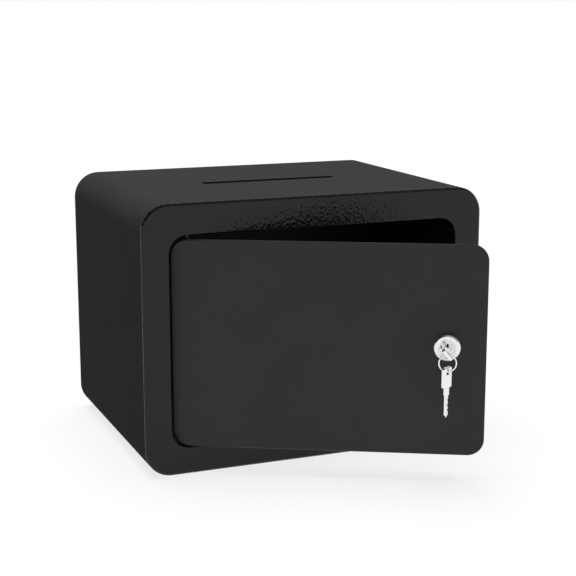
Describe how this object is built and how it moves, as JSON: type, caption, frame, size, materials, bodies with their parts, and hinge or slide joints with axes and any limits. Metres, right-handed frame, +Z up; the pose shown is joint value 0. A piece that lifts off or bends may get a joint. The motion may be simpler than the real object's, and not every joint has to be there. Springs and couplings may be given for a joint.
{
  "type": "coin bank",
  "caption": "Small steel cash safe bank with a slotted top, a hinged front door standing ajar, and a key lock with keys on a ring.",
  "frame": {"origin": "centre of the body's flat base", "axes": "+Z up, -Y out of the doorway, +X to the right as one faces the door"},
  "size_m": [0.23, 0.2621, 0.17],
  "materials": {
    "shell_paint": "smooth satin black powder coat",
    "frame_paint": "glossy wrinkled black powder coat",
    "back_paint": "smooth satin black powder coat",
    "door_paint": "fine matt black powder coat",
    "pan_paint": "smooth satin black powder coat",
    "zinc": "bright zinc plate",
    "chrome": "bright chrome plate",
    "nickel": "bright nickel plate",
    "wafer_brass": "plain stamped brass",
    "rubber": "soft black rubber",
    "felt": "charcoal needle felt",
    "spacer_steel": "blackened turned steel"
  },
  "bodies": {
    "safe": {"body_shell": "shell_paint", "front_frame": "frame_paint", "back_panel": "back_paint", "strike_bracket": "zinc", "stop_tabs": "back_paint", "door_bumpers": "rubber", "floor_mat": "felt"},
    "door": {"door_panel": "door_paint", "door_pan": "pan_paint", "pan_studs": "zinc", "pan_nuts": "zinc", "hinge_post_top": "pan_paint", "hinge_post_bottom": "pan_paint", "hinge_pin_top": "spacer_steel", "hinge_pin_bottom": "spacer_steel", "hinge_spacers": "spacer_steel", "lock_housing": "chrome", "lock_washer": "zinc", "lock_nut": "zinc"},
    "plug": {"lock_plug": "chrome", "lock_wafers": "wafer_brass", "lock_cam": "zinc", "cam_washer": "zinc", "cam_screw": "zinc"},
    "key": {"door_key": "nickel"},
    "ring": {"key_ring": "nickel"},
    "spare": {"spare_key": "nickel"}
  },
  "joints": [
    {"name": "door_hinge", "type": "hinge", "parent": "safe", "child": "door", "pos_m": [-0.0852, -0.0803, 0.0835], "axis": [0, 0, -1], "range_deg": [-28.1, 61.9]},
    {"name": "key_turn", "type": "hinge", "parent": "door", "child": "plug", "pos_m": [0.05176, -0.15819, 0.0857], "axis": [0.471, 0.8821, 0], "range_deg": [0, 90]},
    {"name": "key_pull", "type": "slide", "parent": "plug", "child": "key", "axis": [-0.471, -0.8821, 0], "range_m": [0, 0.025]},
    {"name": "ring_swing", "type": "hinge", "parent": "key", "child": "ring", "pos_m": [0.04368, -0.17394, 0.0854], "axis": [-0.8821, 0.471, 0], "range_deg": [-10, 45]},
    {"name": "spare_swing", "type": "hinge", "parent": "ring", "child": "spare", "pos_m": [0.04368, -0.17394, 0.0752], "axis": [-0.8821, 0.471, 0], "range_deg": [-10, 20]}
  ]
}
